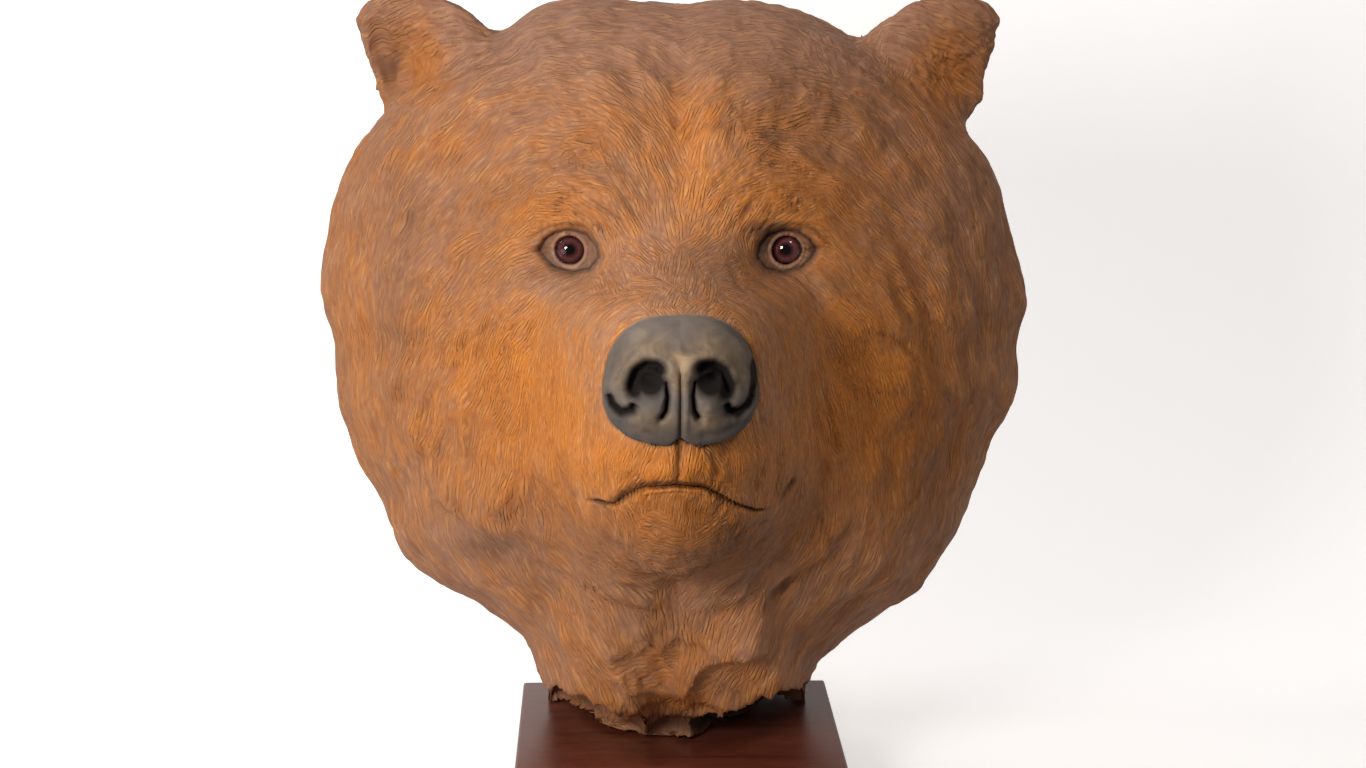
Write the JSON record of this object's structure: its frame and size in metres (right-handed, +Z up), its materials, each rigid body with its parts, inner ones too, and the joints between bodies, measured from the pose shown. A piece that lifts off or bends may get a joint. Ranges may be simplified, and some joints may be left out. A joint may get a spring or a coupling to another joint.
{
  "type": "carved bear head on a plinth",
  "caption": "Life-size bear's head carved in stained wood with chiselled fur, a painted nose and glass eyes, on a square dark wood plinth.",
  "frame": {"origin": "centre of the plinth's underside, on the surface it stands on", "axes": "+Z up, -Y the way the bear looks, +X to the right of someone facing it"},
  "size_m": [0.4508, 0.4158, 0.5086],
  "materials": {
    "plinth_wood": "satin varnished dark mahogany",
    "carved_wood": "stained and hand painted, chiselled",
    "glass_eye": "polished"
  },
  "bodies": {
    "root": {"plinth": "plinth_wood", "bear_head": "carved_wood", "eye_left": "glass_eye", "eye_right": "glass_eye"}
  },
  "joints": []
}
